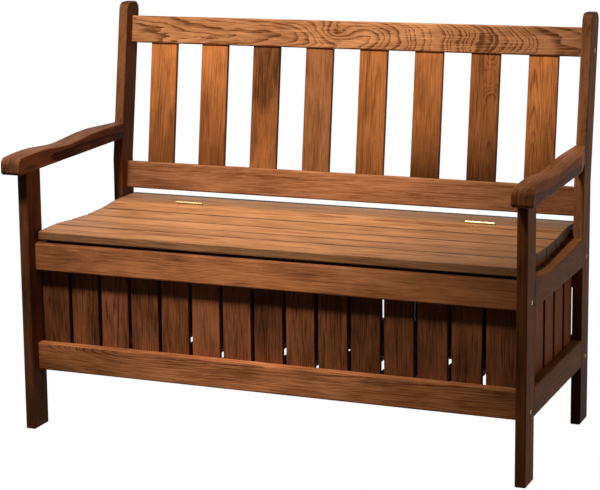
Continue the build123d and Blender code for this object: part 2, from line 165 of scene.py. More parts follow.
# Each pattern's length along the board, its width across it, and its detail. The fibres are
# drawn wider than real ones, which are too fine to show.
PATTERNS = {
    "wander": (260 * MM, 60 * MM, 1.0),
    "ripple": (40 * MM, 12 * MM, 3.0),
    "fibres": (70 * MM, 1.8 * MM, 4.0),
    "dashes": (18 * MM, 1.3 * MM, 1.0),
    "flecks": (26 * MM, 3.2 * MM, 2.0),
    "blotches": (120 * MM, 35 * MM, 4.0),
}

pine = bpy.data.node_groups.new("ring_grain", "ShaderNodeTree")
for way, sockets in (("INPUT", GRAIN_INPUTS), ("OUTPUT", GRAIN_OUTPUTS)):
    for kind, labels in sockets.items():
        for label in labels:
            pine.interface.new_socket(label, in_out=way, socket_type=kind)
given = add(pine, "NodeGroupInput").outputs
shift = add(pine, "ShaderNodeVectorMath", {0: given["Seed"], 1: SEED_SHIFT}, operation="MULTIPLY")
own_place = add(pine, "ShaderNodeVectorMath", {0: given["Log"], 1: shift}, operation="ADD")


def streaks(pattern):
    """The noise of one pattern, at this board's own place in it."""
    along, across, detail = PATTERNS[pattern]
    scale = (1 / along, 1 / across, 1 / across)
    scaled = add(pine, "ShaderNodeVectorMath", {0: own_place, 1: scale}, operation="MULTIPLY")
    noise = {"Vector": scaled, "Scale": 1.0, "Detail": detail}
    return add(pine, "ShaderNodeTexNoise", noise, label=pattern)


print("grain inputs:", sum(len(labels) for labels in GRAIN_INPUTS.values()), "patterns:", len(PATTERNS))

# %% [markdown]
# ## Knots and bends
#
# Rings rise in a smooth hill about a knot, and in a longer one across the whole board where
# the trunk bent or a branch was near. A hill could be a texture of its own, but a bell curve
# of the distance gives it in three sums.

# %% Hills in the rings
KNOT_SHAPE = (0.5, 1.0, 1.0)    # Twice as long along the board as across it.


def hill(reach):
    """A smooth hill: 1 in its middle, and nearly 0 from a reach of 2 on."""
    squared = add(pine, "ShaderNodeMath", {0: reach, 1: reach}, operation="MULTIPLY")
    falling = add(pine, "ShaderNodeMath", {0: squared, 1: -1.0}, operation="MULTIPLY")
    return add(pine, "ShaderNodeMath", {0: falling}, operation="EXPONENT")


from_knot = add(pine, "ShaderNodeVectorMath", {0: given["Log"], 1: given["Knot"]}, operation="SUBTRACT")
shaped = add(pine, "ShaderNodeVectorMath", {0: from_knot, 1: KNOT_SHAPE}, operation="MULTIPLY")
knot_away = add(pine, "ShaderNodeVectorMath", {0: shaped}, operation="LENGTH").outputs["Value"]
knot_reach = add(pine, "ShaderNodeMath", {0: knot_away, 1: given["Knot length"]}, operation="DIVIDE")
knot_rise = {0: hill(knot_reach), 1: given["Knot lift"]}
rise = add(pine, "ShaderNodeMath", knot_rise, operation="MULTIPLY")

along = add(pine, "ShaderNodeSeparateXYZ", {0: given["Log"]}).outputs["X"]
sweep_away = add(pine, "ShaderNodeMath", {0: along, 1: given["Sweep place"]}, operation="SUBTRACT")
sweep_reach = add(pine, "ShaderNodeMath", {0: sweep_away, 1: given["Sweep length"]}, operation="DIVIDE")
sweep_rise = {0: hill(sweep_reach), 1: given["Sweep lift"], 2: rise}
rise = add(pine, "ShaderNodeMath", sweep_rise, operation="MULTIPLY_ADD")
print("nodes with the hills:", len(pine.nodes))

# %% [markdown]
# ## Rings
#
# A ring is counted by its distance from the pith, bent by a slow wander and a quicker ripple
# and lifted by the hills. Good and bad years make the rings wide or narrow, strong or faint.
# Within a ring the wood darkens slowly to the late summer and then stops short, which a
# colour ramp draws.

# %% Rings and their late wood
NOISE_MIDDLE = 0.5
RIPPLE_SHARE = 0.22
YEAR_WIDTHS = {"Scale": 0.23, "Detail": 2.0}
YEAR_SPREAD = 4.0
YEAR_STRENGTHS = {"Scale": 0.41}
STRENGTH_SWING = 1.1
STRENGTH_LEAST = 0.25
LATEWOOD_STOPS = ((0.0, 0.0), (0.55, 0.14), (0.84, 0.9), (0.94, 1.0), (1.0, 0.0))

across = add(pine, "ShaderNodeVectorMath", {0: given["Log"], 1: (0, 1, 1)}, operation="MULTIPLY")
from_pith = add(pine, "ShaderNodeVectorMath", {0: across}, operation="LENGTH").outputs["Value"]
wander = add(pine, "ShaderNodeMath", {0: streaks("wander"), 1: NOISE_MIDDLE}, operation="SUBTRACT")
ripple = add(pine, "ShaderNodeMath", {0: streaks("ripple"), 1: NOISE_MIDDLE}, operation="SUBTRACT")
bend = add(pine, "ShaderNodeMath", {0: ripple, 1: RIPPLE_SHARE, 2: wander}, operation="MULTIPLY_ADD")
bent = {0: bend, 1: given["Wander"], 2: from_pith}
radius = add(pine, "ShaderNodeMath", bent, operation="MULTIPLY_ADD")
radius = add(pine, "ShaderNodeMath", {0: radius, 1: rise}, operation="ADD")

even_ring = add(pine, "ShaderNodeMath", {0: radius, 1: given["Ring width"]}, operation="DIVIDE")
years = add(pine, "ShaderNodeTexNoise", {"W": even_ring, **YEAR_WIDTHS}, noise_dimensions="1D")
ring = add(pine, "ShaderNodeMath", {0: years, 1: YEAR_SPREAD, 2: even_ring}, operation="MULTIPLY_ADD")
season = add(pine, "ShaderNodeMath", {0: ring}, operation="FRACT")
profile = add(pine, "ShaderNodeValToRGB", {0: season})
stops = profile.color_ramp.elements
while len(stops) < len(LATEWOOD_STOPS):
    stops.new(0.5)
for stop, (position, grey) in zip(stops, LATEWOOD_STOPS):
    stop.position = position
    stop.color = (grey, grey, grey, 1.0)

strengths = add(pine, "ShaderNodeTexNoise", {"W": ring, **YEAR_STRENGTHS}, noise_dimensions="1D")
strength_swing = {0: strengths, 1: STRENGTH_SWING, 2: STRENGTH_LEAST}
strength = add(pine, "ShaderNodeMath", strength_swing, operation="MULTIPLY_ADD")
whole_latewood = add(pine, "ShaderNodeMath", {0: profile, 1: strength}, operation="MULTIPLY")
print("nodes with the rings:", len(pine.nodes))

# %% [markdown]
# ## How deep the stain looks
#
# Fibres, long thin streaks along the board, break the ring lines into dashes. Stain then
# takes unevenly: more in the late wood, in short dark pores and in a knot's core, less in
# pale flecks, and in wide blotches either way. Each of these could be a colour of its own.
# Here they add up to one depth between a pale and a deep stain, as the real ones do.

# %% Depth of the stain
BREAK_SWING = 2.4
BREAK_LEAST = -0.2
DASH_RANGE = {"From Min": 0.6, "From Max": 0.75}
FLECK_RANGE = {"From Min": 0.55, "From Max": 0.72}
CORE_RANGE = {"From Min": 0.42, "From Max": 0.22}
BLOTCH_MIDDLE = 0.46
DASH_DEPTH = 0.12
FLECK_DEPTH = -0.22
CORE_DEPTH = 0.9
PLAIN_DEPTH = 0.25

fibres = streaks("fibres")
breaks = add(pine, "ShaderNodeMath", {0: fibres, 1: BREAK_SWING, 2: BREAK_LEAST}, operation="MULTIPLY_ADD")
latewood = add(pine, "ShaderNodeMath", {0: whole_latewood, 1: breaks}, operation="MULTIPLY")
dashes = add(pine, "ShaderNodeMapRange", {"Value": streaks("dashes"), **DASH_RANGE})
flecks = add(pine, "ShaderNodeMapRange", {"Value": streaks("flecks"), **FLECK_RANGE})
core_range = {"Value": knot_reach, **CORE_RANGE}
core = add(pine, "ShaderNodeMapRange", core_range, interpolation_type="SMOOTHSTEP")
core = add(pine, "ShaderNodeMath", {0: core, 1: given["Knot core"]}, operation="MULTIPLY")

# Each pattern, the value at which it changes nothing, and its share of the depth.
shares = (
    (latewood, 0.0, given["Figure"]),
    (fibres, NOISE_MIDDLE, given["Fibre"]),
    (streaks("blotches"), BLOTCH_MIDDLE, given["Blotch"]),
    (dashes, 0.0, DASH_DEPTH),
    (flecks, 0.0, FLECK_DEPTH),
    (core, 0.0, CORE_DEPTH),
)
depth = PLAIN_DEPTH
for pattern, neutral, share in shares:
    swing = add(pine, "ShaderNodeMath", {0: pattern, 1: neutral}, operation="SUBTRACT")
    depth = add(pine, "ShaderNodeMath", {0: swing, 1: share, 2: depth}, operation="MULTIPLY_ADD")

# A Mix node of colours takes them in sockets 6 and 7 and gives its result in output 2.
tones = {0: depth, 6: given["Pale"], 7: given["Deep"]}
stain = add(pine, "ShaderNodeMix", tones, data_type="RGBA", clamp_factor=True).outputs[2]
print("nodes with the stain:", len(pine.nodes))

# %% [markdown]
# ## Edges and ends
#
# Along an edge the stain has worn thin, and along the seams of the seat the edges are darker.
# The edge is found where a rounded normal leaves the true one. Where the grain ends, the wood
# drinks more stain and goes dark, and the same dark tone takes the painted shade of a named
# face. Late wood stands a little proud and shines a little more, and pores lie deeper.

# %% Edges, ends and what the group gives
EDGE_RUB = 3.0 * MM
EDGE_SAMPLES = 6
EDGE_RANGE = {"From Min": 0.98, "From Max": 0.85}
RUB_SWING = 0.8
RUB_LEAST = 0.2
# Dark tone of end grain, and of painted shade on a named face.
END_GRAIN_AND_SHADE_TONE = "#1c0f09"
PLAIN_ROUGHNESS = 0.42
LATEWOOD_ROUGHNESS = -0.08
FIBRE_ROUGHNESS = 0.25
DASH_HEIGHT = -0.7
LATEWOOD_HEIGHT = 0.6

rounded = add(pine, "ShaderNodeBevel", {"Radius": EDGE_RUB}, samples=EDGE_SAMPLES)
true_normal = add(pine, "ShaderNodeNewGeometry").outputs["Normal"]
turned = add(pine, "ShaderNodeVectorMath", {0: rounded, 1: true_normal}, operation="DOT_PRODUCT")
edge = add(pine, "ShaderNodeMapRange", {"Value": turned.outputs["Value"], **EDGE_RANGE})
rub = add(pine, "ShaderNodeMath", {0: fibres, 1: RUB_SWING, 2: RUB_LEAST}, operation="MULTIPLY_ADD")
edge = add(pine, "ShaderNodeMath", {0: edge, 1: rub}, operation="MULTIPLY")
edge = add(pine, "ShaderNodeMath", {0: edge, 1: given["Edge"]}, operation="MULTIPLY")
tones = {0: edge, 6: stain, 7: given["Edge tone"]}
rubbed = add(pine, "ShaderNodeMix", tones, data_type="RGBA").outputs[2]
# Dark end grain and painted shade on a named face, mixed in towards one dark tone.
tones = {0: given["Ends and shade"], 6: rubbed, 7: linear(END_GRAIN_AND_SHADE_TONE)}
dark_end_and_shade = add(pine, "ShaderNodeMix", tones, data_type="RGBA").outputs[2]

roughness = PLAIN_ROUGHNESS
for pattern, share in ((latewood, LATEWOOD_ROUGHNESS), (fibres, FIBRE_ROUGHNESS)):
    roughness = add(pine, "ShaderNodeMath", {0: pattern, 1: share, 2: roughness}, operation="MULTIPLY_ADD")
height = fibres
for pattern, share in ((dashes, DASH_HEIGHT), (latewood, LATEWOOD_HEIGHT)):
    height = add(pine, "ShaderNodeMath", {0: pattern, 1: share, 2: height}, operation="MULTIPLY_ADD")
add(pine, "NodeGroupOutput", {"Colour": dark_end_and_shade, "Roughness": roughness, "Height": height})
print("ring grain group:", len(pine.nodes), "nodes")

# %% [markdown]
# ## Dark end grain and painted shade
#
# A face that looks along the grain is end grain, which drinks more stain. Shade is also painted
# on one more face of some boards, such as the apron's top under the lid, and light and shade
# along a board, darker or brighter towards its ends. All this could be painted by hand.
# Worked out from the way a face looks and the place along the board, it fits every board.

# %% Dark end grain and painted shade
END_RANGE = {"From Min": 0.7, "From Max": 0.95}
SHADED_FACE_RANGE = {"From Min": 0.25, "From Max": 0.7}


def end_grain_and_shade_share(tree, normal, grain_way, end_dark, shaded_face, face_shade):
    """How dark a face goes: end grain, and the painted shade of one more face if it is named."""
    turned = add(tree, "ShaderNodeVectorMath", {0: normal, 1: grain_way}, operation="DOT_PRODUCT")
    endwise = add(tree, "ShaderNodeMath", {0: turned.outputs["Value"]}, operation="ABSOLUTE")
    end_grain_and_shade = add(tree, "ShaderNodeMapRange", {"Value": endwise, **END_RANGE, "To Max": end_dark})
    # Painted shade on one more named face, such as the apron's top under the lid or a lid slat's front.
    if shaded_face:
        turned = add(tree, "ShaderNodeVectorMath", {0: normal, 1: shaded_face}, operation="DOT_PRODUCT")
        face_range = {"Value": turned.outputs["Value"], **SHADED_FACE_RANGE, "To Max": face_shade}
        face = add(tree, "ShaderNodeMapRange", face_range)
        end_grain_and_shade = add(tree, "ShaderNodeMath", {0: end_grain_and_shade, 1: face}, operation="MAXIMUM")
    return end_grain_and_shade


def shaded_ends(tree, colour, log, half_length, ends):
    """The colour with light and shade painted on it, from the board's middle to its low and its high end."""
    along_board = add(tree, "ShaderNodeSeparateXYZ", {0: log}).outputs["X"]
    for end_place, end_tone in zip((-half_length, half_length), ends):
        to_end = {"Value": along_board, "From Max": end_place, "To Min": 1.0, "To Max": end_tone}
        shade = add(tree, "ShaderNodeMapRange", to_end)
        colour = add(tree, "ShaderNodeVectorMath", {0: colour, "Scale": shade}, operation="SCALE")
    return colour


print("end grain within", round(math.degrees(math.acos(END_RANGE["From Min"]))), "degrees of the grain")

# %% [markdown]
# ## One board, one material
#
# Two boards from one log still differ, so each piece has a material of its own: the same
# group with another place in the log, another tilt and another depth of stain. A Mapping
# node turns the piece so that its grain runs along the first axis and puts the pith where
# this board's figure asks for it.

# %% A stained board
BACK_LEAN = math.atan2(
    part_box("back_top_rail")[0].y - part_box("back_lower_rail")[0].y,
    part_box("back_top_rail")[0].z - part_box("back_lower_rail")[0].z,
)
GRAIN_TURNS = {
    "X": Matrix.Identity(3),
    "Y": Matrix.Rotation(math.radians(-90), 3, "Z"),
    "Z": Matrix.Rotation(math.radians(90), 3, "Y"),
    "back": Matrix.Rotation(math.radians(90), 3, "Y") @ Matrix.Rotation(BACK_LEAN, 3, "X"),
    "back X": Matrix.Rotation(BACK_LEAN, 3, "X"),
}
GRAIN_WAYS = {"X": (1, 0, 0), "Y": (0, 1, 0), "Z": (0, 0, 1), "back": (0, 0, 1), "back X": (1, 0, 0)}
SEED_HIGHEST = 5.0
BUMP_STRENGTH = 0.5
BUMP_HEIGHT = 0.35 * MM
dice = random.Random(11)


def stained_board(node, grain, pale, deep, pith, tone=1.0, tilt=(0.0, 0.0), ring=3.2, wander=5.0,
                  figure=0.5, fibre=0.7, blotch=0.7, edge=0.5, edge_tone=None, shaded_face=None, face_shade=0.8,
                  end_dark=0.7, ends=(1.0, 1.0), shine=0.02, knot=(0, 0, 0), knot_length=30.0, knot_lift=0.0,
                  knot_core=0.0, sweep=(0.0, 100.0, 0.0)):
    """Stained pine for one node. Planed softwood under a brown satin stain: warm, streaked
    and a little uneven, with a soft sheen along the fibres.

    Millimetres and degrees. pith is how far the board's middle lies from the pith, through
    and across, tilt how the log runs askew, knot a place from the board's middle, and sweep
    the place, length and lift of a bend. tone brightens or darkens both stain colours, and
    ends paints light and shade once more towards the low and the high end of a board.
    shaded_face is the way of a face on which shade is painted, and face_shade how dark it is.
    """
    low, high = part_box(node)
    middle = (low + high) / 2
    half_length = abs((high - low).dot(Vector(GRAIN_WAYS[grain]))) / 2
    tilted = Euler((0, math.radians(tilt[0]), math.radians(tilt[1]))).to_matrix()
    turn = tilted @ GRAIN_TURNS[grain]
    in_log = Vector((0, pith[0], pith[1])) * MM
    pale_stain = [c * tone for c in linear(pale)[:3]] + [1.0]
    deep_stain = [c * tone for c in linear(deep)[:3]] + [1.0]

    material = bare_material(f"stained_pine_{node}")
    tree = material.node_tree
    place = add(tree, "ShaderNodeTexCoord").outputs
    log = add(
        tree,
        "ShaderNodeMapping",
        {
            "Vector": place["Object"],
            "Rotation": turn.to_euler("XYZ"),
            "Location": in_log - turn @ middle,
        },
    )
    # How dark end grain goes, with painted shade on the named face.
    end_grain_and_shade = end_grain_and_shade_share(tree, place["Normal"], GRAIN_WAYS[grain], end_dark, shaded_face, face_shade)
    wood = add(
        tree,
        "ShaderNodeGroup",
        {
            "Log": log,
            "Seed": dice.uniform(0.0, SEED_HIGHEST),
            "Ring width": ring * MM,
            "Wander": wander * MM,
            "Figure": figure,
            "Fibre": fibre,
            "Blotch": blotch,
            "Ends and shade": end_grain_and_shade,
            "Edge": edge,
            "Edge tone": linear(edge_tone) if edge_tone else pale_stain,
            "Sweep place": sweep[0] * MM,
            "Sweep length": sweep[1] * MM,
            "Sweep lift": sweep[2] * MM,
            "Knot": tilted @ (Vector(knot) * MM) + in_log,
            "Knot length": knot_length * MM,
            "Knot lift": knot_lift * MM,
            "Knot core": knot_core,
            "Pale": pale_stain,
            "Deep": deep_stain,
        },
        node_tree=pine,
    ).outputs
    relief = {"Strength": BUMP_STRENGTH, "Distance": BUMP_HEIGHT, "Height": wood["Height"]}
    shader = add(
        tree,
        "ShaderNodeBsdfPrincipled",
        {
            "Base Color": shaded_ends(tree, wood["Colour"], log, half_length, ends),
            "Roughness": wood["Roughness"],
            "Specular IOR Level": shine,
            "Normal": add(tree, "ShaderNodeBump", relief),
        },
    )
    add(tree, "ShaderNodeOutputMaterial", {"Surface": shader})
    coat(node, material)


print("back leans", round(math.degrees(BACK_LEAN), 1), "degrees")

# %% [markdown]
# ## The back
#
# A maker sorts boards by eye. The top rail is the showpiece: its rings run out of the face,
# so that they become flames, with a knot left of the middle. The slats are straighter and
# more orange. Each is chosen by itself, so they stand in a list and not in a formula.

# %% Back rails and slats
# ends paints light and shade along each back board; most slats darken towards their feet.
stained_board("back_top_rail", "back X", "#d58f5c", "#663819", tone=0.82, ends=(0.9, 0.92), pith=(142, 6),
              tilt=(0.3, 1.0), ring=3.4, wander=16, figure=0.76, fibre=1.3, blotch=1.2, knot=(-30, 0, 2),
              knot_length=26, knot_lift=16, sweep=(560, 420, 95))
stained_board("back_lower_rail", "back X", "#c88354", "#6c3a1c", tone=0.77, ends=(0.74, 0.47), pith=(30, 90),
              tilt=(0.6, 0.3), ring=1.8, wander=7, figure=0.4, fibre=1.6, blotch=1.3, knot=(-95, 0, 8),
              knot_length=22, knot_lift=6, knot_core=0.5)
SLAT_CHOICE = dict(pale="#d98446", deep="#7c431e", ends=(0.52, 1.38), ring=1.8, tilt=(0.2, 0.5), wander=4,
                   figure=0.35, fibre=1.5, blotch=1.3)
slat_cuts = (
    dict(pith=(120, 20), tone=0.60),
    dict(pith=(90, 45), tone=0.58),
    dict(pith=(30, 60), tone=0.58, blotch=1.5, pale="#c47840", deep="#5c3319", ends=(1.05, 1.1),
         knot=(95, 0, 4), knot_length=150, knot_core=0.42),
    dict(pith=(20, 80), tone=0.54, blotch=1.4, pale="#cd8450", ends=(0.9, 1.12)),
    dict(pith=(140, 10), tone=0.54, ends=(0.68, 1.22)),
    dict(pith=(45, 60), tone=0.51, ends=(0.2, 1.4), knot=(-95, 0, -8), knot_length=16, knot_lift=9,
         knot_core=0.5),
    dict(pith=(60, 16), tone=0.60, figure=0.5, pale="#b9703c", deep="#66371b", tilt=(0.3, 1.0),
         ends=(0.3, 1.55), knot=(90, 0, -14), knot_length=16, knot_lift=6),
    dict(pith=(52, -18), tone=0.71, figure=0.5, tilt=(0.3, 1.5), ends=(0.36, 1.38)),
)
for number, cut in enumerate(slat_cuts, start=1):
    stained_board(f"back_slat_{number}", "back", **{**SLAT_CHOICE, **cut})
print("back boards:", 2 + len(slat_cuts))

# %% [markdown]
# ## The seat
#
# The seat's slats are paler and shine a little more, as wood does that is sat on. Each slat
# behind the first is darker along its edges, at the seams. Shade is painted on the front faces
# of the lid's slats, the first one's only a little. The seams could be drawn as lines, but
# this way they follow the slats when the lid opens.

# %% Seat, its bearers and its battens
SEAT_PALE = "#d4925e"
SEAT_DEEP = "#7b4826"
# Painted shade: the seat darkens towards its right end.
SEAT_END_SHADE = (0.97, 0.66)
SEAT_SHINE = 0.1
SEAM = dict(edge=1.0, edge_tone="#3c2112")
# Painted shade on the front faces of the lid's slats, only a little on the first.
FIRST_SLAT = dict(face_shade=0.3)
TO_FRONT = (0, -1, 0)
INSIDE_PALE = "#8a5a36"
INSIDE_DEEP = "#4c2b17"
seat_tones = (0.88, 0.80, 0.90, 0.80, 0.84)
for number, tone in enumerate(seat_tones, start=1):
    stained_board(f"lid_slat_{number}", "X", SEAT_PALE, SEAT_DEEP, tone=tone, ends=SEAT_END_SHADE,
                  pith=(dice.uniform(-20, 20), dice.uniform(40, 110)), tilt=(dice.uniform(-0.8, 0.8), 0.2),
                  ring=4.5, figure=0.55, fibre=1.8, blotch=0.9, shine=SEAT_SHINE, shaded_face=TO_FRONT,
                  **(FIRST_SLAT if number == 1 else SEAM))
stained_board("rear_slat", "X", "#b98457", "#7d5234", tone=0.68, ends=SEAT_END_SHADE, pith=(10, 60), fibre=1.2,
              blotch=1.2, shine=SEAT_SHINE, **SEAM)
for side in ("left", "right"):
    stained_board(f"seat_bearer_{side}", "Y", "#93592f", "#5a3318", pith=(70, 20))
for number in range(1, 4):
    stained_board(f"lid_batten_{number}", "Y", INSIDE_PALE, INSIDE_DEEP, pith=(60, 40))
print("seat slats:", len(seat_tones) + 1)

# %% [markdown]
# ## Apron and rails
#
# The rails run between the legs and posts. The two in front are straight and streaky, with a
# knot in the apron and a bend at the lower rail's left end. The side rails took more stain.
# Shade is painted on the apron's top, under the lid, and on both front rails towards the right.

# %% Apron and rails
RAIL_PALE = "#dc8a54"
RAIL_DEEP = "#764022"
SIDE_PALE = "#84502a"
SIDE_DEEP = "#3a220f"
TO_SKY = (0, 0, 1)
# Painted shade: the apron's top face, and both front rails towards their right ends.
stained_board("front_apron", "X", RAIL_PALE, RAIL_DEEP, tone=1.06, ends=(0.84, 0.48), pith=(60, 30),
              tilt=(0.4, 0.3), ring=1.8, figure=0.35, fibre=1.2, blotch=1.5, knot=(-175, 0, -4),
              knot_length=26, knot_lift=10, shaded_face=TO_SKY, face_shade=0.5)
stained_board("front_lower_rail", "X", RAIL_PALE, RAIL_DEEP, tone=1.2, ends=(0.82, 0.54), pith=(40, -30),
              tilt=(0.5, 0.6), ring=2.2, figure=0.8, fibre=1.6, blotch=1.6, sweep=(-540, 120, 22))
stained_board("rear_seat_rail", "X", RAIL_PALE, RAIL_DEEP, pith=(70, 20), tilt=(0.5, 0.6))
stained_board("rear_lower_rail", "X", RAIL_PALE, RAIL_DEEP, pith=(50, -40), tilt=(-0.5, 0.6))
for side in ("left", "right"):
    for level, pith in (("upper", (60, 30)), ("lower", (70, 20))):
        stained_board(f"{level}_side_rail_{side}", "Y", SIDE_PALE, SIDE_DEEP, pith, fibre=1.6, blotch=1.3)
print("rails stained")

# %% [markdown]
# ## Boards of the box
#
# The thin boards of the box have drunk the most stain, each to its own depth. They come from
# all over the log, so their place, tilt and figure are thrown with dice that have a fixed
# seed: no two are alike, and every run gives the same ones.

# %% Boards of the box
BOARD_PALE = "#a3613a"
BOARD_DEEP = "#462715"
board_tones = (0.8, 1.04, 1.2, 0.98, 0.97, 1.25, 1.0, 0.75, 0.9, 0.77, 0.55, 0.64, 0.7, 0.74, 0.8)
for number, tone in enumerate(board_tones, start=1):
    stained_board(f"front_board_{number:02d}", "Z", BOARD_PALE, BOARD_DEEP, tone=tone,
                  pith=(dice.uniform(40, 90), dice.uniform(-60, 60)), tilt=(0.4, dice.uniform(-1.5, 1.5)),
                  ring=1.8, figure=dice.uniform(0.25, 0.55), fibre=1.8, blotch=1.8)
for name in ("rear_boards", "side_boards_left", "side_boards_right"):
    stained_board(name, "Z", BOARD_PALE, BOARD_DEEP, pith=(60, 40))
stained_board("floor_boards", "Y", INSIDE_PALE, INSIDE_DEEP, pith=(60, 40))
for name in ("floor_batten_front", "floor_batten_rear"):
    stained_board(name, "X", INSIDE_PALE, INSIDE_DEEP, pith=(60, 40))
print("front boards:", len(board_tones))

# %% [markdown]
# ## Legs, posts and armrests
#
# Legs and posts are planks with a quiet figure, and shade is painted on the posts towards the
# ground. The armrests have broad, strong rings, which their shaping cuts into long loops, and
# light is painted on their fronts. Left and right share one cut of each kind, and differ in
# their stain.

# %% Legs, posts and armrests
LEG_FIGURE = dict(pith=(60, 40), ring=2.0, figure=0.35, fibre=1.2, blotch=1.6)
ARM_FIGURE = dict(pith=(120, 8), ring=4.2, wander=4, figure=1.1, fibre=1.0, blotch=1.6, end_dark=0.15)
stained_board("front_leg_left", "Z", "#8a5230", "#3a1f0e", tone=1.05, **LEG_FIGURE)
stained_board("front_leg_right", "Z", "#94562c", "#40230d", tone=0.8, **LEG_FIGURE)
# Painted shade on the posts towards the ground.
stained_board("rear_post_left", "Z", "#985e38", "#492812", tone=0.70, ends=(0.35, 1.0), **LEG_FIGURE)
stained_board("rear_post_right", "Z", "#98603c", "#492914", tone=0.9, ends=(0.15, 1.0), **LEG_FIGURE)
# Painted light on the armrests towards their front ends.
stained_board("armrest_left", "Y", "#9a6242", "#442714", tone=0.78, ends=(1.7, 0.85), **ARM_FIGURE)
stained_board("armrest_right", "Y", "#a26238", "#482610", tone=0.94, ends=(1.4, 1.0), **ARM_FIGURE)
print("end frames stained")

# %% [markdown]
# ## Metal: hinges and bolts
#
# The hinges are drawn brass, dulled to a pale straw yellow. The bolts are zinc-plated steel.
# A metal has no colour under its shine, so its base colour is the colour of its reflection.
# Even shine would look like new, so a noise of a few millimetres dulls it in patches.

# %% Brass and zinc
DULL_RANGE = {"From Min": 0.35, "From Max": 0.65}
SMOOTHER = 0.1
ROUGHER = 0.15
METAL_RELIEF = {"Strength": 0.2, "Distance": 0.1 * MM}


def dulled_metal(name, bright, dull, roughness, patch):
    """A plated or drawn metal with soft dull patches of the given size in metres."""
    material = bare_material(name)
    tree = material.node_tree
    place = add(tree, "ShaderNodeTexCoord").outputs["Object"]
    noise = add(tree, "ShaderNodeTexNoise", {"Vector": place, "Scale": 1 / patch, "Detail": 4.0})
    patches = add(tree, "ShaderNodeMapRange", {"Value": noise, **DULL_RANGE})
    tones = {0: patches, 6: linear(bright), 7: linear(dull)}
    spread = {"Value": noise, "To Min": roughness - SMOOTHER, "To Max": roughness + ROUGHER}
    shader = add(
        tree,
        "ShaderNodeBsdfPrincipled",
        {
            "Base Color": add(tree, "ShaderNodeMix", tones, data_type="RGBA").outputs[2],
            "Metallic": 1.0,
            "Roughness": add(tree, "ShaderNodeMapRange", spread),
            "Normal": add(tree, "ShaderNodeBump", {"Height": noise, **METAL_RELIEF}),
        },
    )
    add(tree, "ShaderNodeOutputMaterial", {"Surface": shader})
    return material


brass = dulled_metal("drawn_brass", "#dcc795", "#b59a62", 0.4, 4 * MM)
zinc = dulled_metal("zinc_plated_steel", "#e2d8c0", "#a89e84", 0.4, 2 * MM)
for name in ("hinge_fixed_leaves", "hinge_lid_leaves", "hinge_pins"):
    coat(name, brass)
print("metals:", brass.name, zinc.name)

# %% [markdown]
# ## Where the bolts go
#
# Ten bolts hold the rails. Their heads lie in the counterbores of the legs and posts, and
# their shanks run into the rails' ends, so their places come from those rails.

# %% Places of the bolts
COUNTERBORE = 4.6 * MM
ABOVE_RAIL_BOTTOM = 17.5 * MM
BELOW_RAIL_MIDDLE = 17.0 * MM


def rail_middle(name):
    """The middle of one rail's box."""
    low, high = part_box(name)
    return (low + high) / 2


bolt_seat_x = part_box("front_leg_right")[1].x - COUNTERBORE
seat_bolt_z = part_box("front_apron")[0].z + ABOVE_RAIL_BOTTOM
low_bolt_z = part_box("front_lower_rail")[0].z + ABOVE_RAIL_BOTTOM
back_up = Vector((0, math.sin(BACK_LEAN), math.cos(BACK_LEAN)))
top_bolt = rail_middle("back_top_rail") - BELOW_RAIL_MIDDLE * back_up
rail_places = [rail_middle(name).y for name in ("front_apron", "rear_seat_rail")]
bolt_rows = [(y, z) for y in rail_places for z in (seat_bolt_z, low_bolt_z)]
bolt_rows.append((top_bolt.y, top_bolt.z))
bolt_points = [(side * bolt_seat_x, y, z) for side in (-1, 1) for y, z in bolt_rows]
print("bolt heights:", sorted({round(z, 3) for _, z in bolt_rows}))

# %% [markdown]
# ## Ten bolts from one pattern
#
# Every bolt is the same, so one is drawn in Geometry Nodes and set on ten points. Drawing
# one bolt by hand and copying it would do as well, but then a new size would mean ten new
# bolts. The head is a disc whose top is raised once more and drawn in, which leaves the
# chamfer, and a six-sided rod is cut out of it for the socket.

# %% One bolt
BOLT_SIZES = {
    "Head radius": 5.0 * MM,
    "Head height": 4.0 * MM,
    "Chamfer": 0.7 * MM,
    "Shank radius": 3.0 * MM,
    "Shank length": 52.0 * MM,
    "Socket radius": 2.9 * MM,
    "Socket depth": 2.5 * MM,
}
HEAD_SIDES = 40
SOCKET_SIDES = 6
SHANK_SIDES = 24

bolt_tree = bpy.data.node_groups.new("socket_bolts", "GeometryNodeTree")
bolt_tree.interface.new_socket("Points", in_out="INPUT", socket_type="NodeSocketGeometry")
for label in BOLT_SIZES:
    bolt_tree.interface.new_socket(label, in_out="INPUT", socket_type="NodeSocketFloat")
bolt_tree.interface.new_socket("Bolts", in_out="OUTPUT", socket_type="NodeSocketGeometry")
size = add(bolt_tree, "NodeGroupInput").outputs


def rod(sides, radius, depth, middle_height):
    """An upright cylinder node, and its mesh moved to the given height of its middle."""
    bar = add(bolt_tree, "GeometryNodeMeshCylinder", {"Vertices": sides, "Radius": radius, "Depth": depth})
    lift = add(bolt_tree, "ShaderNodeCombineXYZ", {"Z": middle_height})
    return bar, add(bolt_tree, "GeometryNodeTransform", {"Geometry": bar, "Translation": lift})


